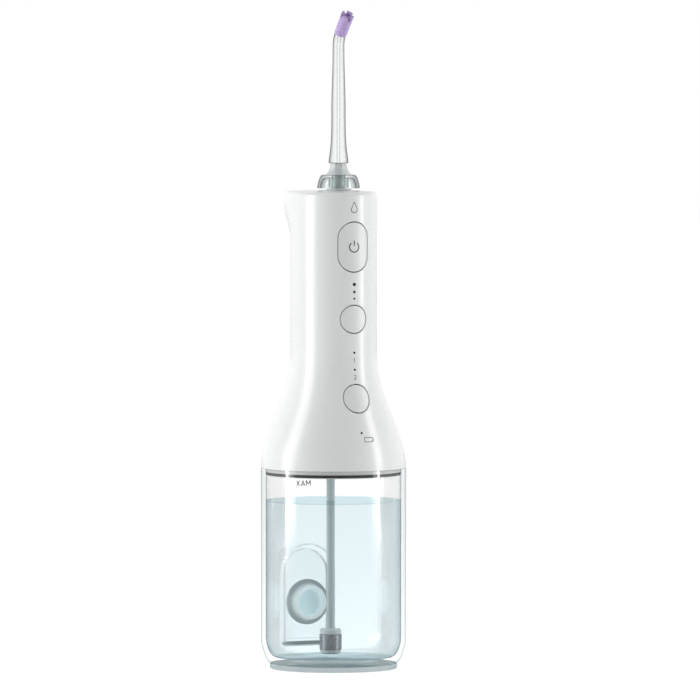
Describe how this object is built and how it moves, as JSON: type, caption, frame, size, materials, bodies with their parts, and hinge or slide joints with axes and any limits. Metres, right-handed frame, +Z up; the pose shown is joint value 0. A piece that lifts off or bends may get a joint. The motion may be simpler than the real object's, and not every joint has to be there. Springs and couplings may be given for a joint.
{
  "type": "water flosser",
  "caption": "Cordless water flosser: a white hand unit with press buttons and a pump inside, standing on a clear water tank, with a clear bent nozzle and a soft tip.",
  "frame": {"origin": "centre of the tank's flat base, on the surface that it stands on", "axes": "+Z up along the tank's axis; the buttons face -Y and the fill door faces +Y"},
  "size_m": [0.068, 0.068, 0.3073],
  "materials": {
    "white_housing": "satin gloss",
    "button_face": "satin",
    "clear_tank": "clear moulded plastic",
    "clear_nozzle": "clear moulded plastic",
    "frosted_collar": "frosted",
    "soft_tip": "soft matte, purple",
    "grey_seal": "soft matte",
    "silicone": "translucent matte",
    "steel": "turned",
    "inner_plastic": "moulded",
    "gear_plastic": "natural acetal",
    "motor_can": "plated",
    "battery_wrap": "shrink film",
    "nickel": "nickel strip",
    "board": "solder mask",
    "black_plastic": "moulded",
    "light_pipe": "smoked"
  },
  "bodies": {
    "reservoir": {"reservoir_shell": "clear_tank", "reservoir_base": "clear_tank", "door_hinge_pin": "clear_tank"},
    "fill_door": {"fill_door": "clear_tank", "fill_plug": "silicone"},
    "handle": {"housing": "white_housing", "light_guides": "light_pipe", "base_plate": "inner_plastic", "spigot_seal": "grey_seal", "suction_tube": "silicone", "tube_collar": "inner_plastic", "filter_cap": "inner_plastic", "filter_weight": "steel", "filter_body": "inner_plastic", "inner_frame": "inner_plastic", "frame_screws": "steel", "battery": "battery_wrap", "battery_tabs": "nickel", "motor": "motor_can", "circuit_board": "board", "board_screws": "steel", "tact_switches": "black_plastic", "indicator_leds": "silicone", "charging_socket": "black_plastic", "port_bezel": "inner_plastic", "gear_axle": "steel", "pump_cylinder": "gear_plastic", "pump_head": "black_plastic", "pump_valves": "silicone", "inlet_hose": "silicone", "outlet_hose": "silicone", "nozzle_seat": "gear_plastic"},
    "power_button": {"power_button": "button_face"},
    "level_button": {"level_button": "button_face"},
    "mode_button": {"mode_button": "button_face"},
    "port_cover": {"port_cover": "grey_seal"},
    "pinion": {"motor_pinion": "steel", "motor_shaft": "steel"},
    "crank": {"crank_gear": "gear_plastic"},
    "connecting_rod": {"connecting_rod": "gear_plastic"},
    "piston": {"piston": "gear_plastic", "piston_seal": "grey_seal", "wrist_pin": "steel"},
    "nozzle_dial": {"nozzle_dial": "inner_plastic"},
    "nozzle": {"nozzle_stem": "clear_nozzle", "nozzle_tip": "soft_tip", "nozzle_skirt": "clear_nozzle", "nozzle_sleeve": "frosted_collar", "nozzle_seal": "grey_seal"}
  },
  "joints": [
    {"name": "handle_lift", "type": "slide", "parent": "reservoir", "child": "handle", "axis": [0, 0, 1], "range_m": [0, 0.1]},
    {"name": "fill_door_hinge", "type": "hinge", "parent": "reservoir", "child": "fill_door", "pos_m": [0, 0.0308, 0.0096], "axis": [-1, 0, 0], "range_deg": [0, 90]},
    {"name": "power_press", "type": "slide", "parent": "handle", "child": "power_button", "axis": [0, 1, 0], "range_m": [0, 0.0008], "stiffness_N_per_m": 900, "springref_m": -0.0004},
    {"name": "level_press", "type": "slide", "parent": "handle", "child": "level_button", "axis": [0, 1, 0], "range_m": [0, 0.0008], "stiffness_N_per_m": 900, "springref_m": -0.0004},
    {"name": "mode_press", "type": "slide", "parent": "handle", "child": "mode_button", "axis": [0, 1, 0], "range_m": [0, 0.0008], "stiffness_N_per_m": 900, "springref_m": -0.0004},
    {"name": "port_cover_hinge", "type": "hinge", "parent": "handle", "child": "port_cover", "pos_m": [0, 0.02761, 0.122], "axis": [-1, 0, 0], "range_deg": [0, 95]},
    {"name": "crank_spin", "type": "hinge", "parent": "handle", "child": "crank", "pos_m": [0, -0.0074, 0.1069], "axis": [0, 0, 1], "continuous": true},
    {"name": "pinion_spin", "type": "hinge", "parent": "handle", "child": "pinion", "pos_m": [0, 0.0046, 0.1069], "axis": [0, 0, 1], "continuous": true},
    {"name": "rod_pivot", "type": "hinge", "parent": "crank", "child": "connecting_rod", "pos_m": [0.00125, -0.0074, 0.1025], "axis": [0, 0, 1], "continuous": true},
    {"name": "piston_stroke", "type": "slide", "parent": "handle", "child": "piston", "axis": [0, 1, 0], "range_m": [-0.00125, 0.00125]},
    {"name": "nozzle_turn", "type": "hinge", "parent": "handle", "child": "nozzle_dial", "pos_m": [0, -0.0055, 0.22], "axis": [0, 0, 1], "continuous": true},
    {"name": "nozzle_pull", "type": "slide", "parent": "nozzle_dial", "child": "nozzle", "axis": [0, 0, 1], "range_m": [0, 0.02]}
  ],
  "couplings": [
    {"joint": "pinion_spin", "follows": "crank_spin", "ratio": -3},
    {"joint": "rod_pivot", "follows": "crank_spin", "ratio": -1}
  ]
}
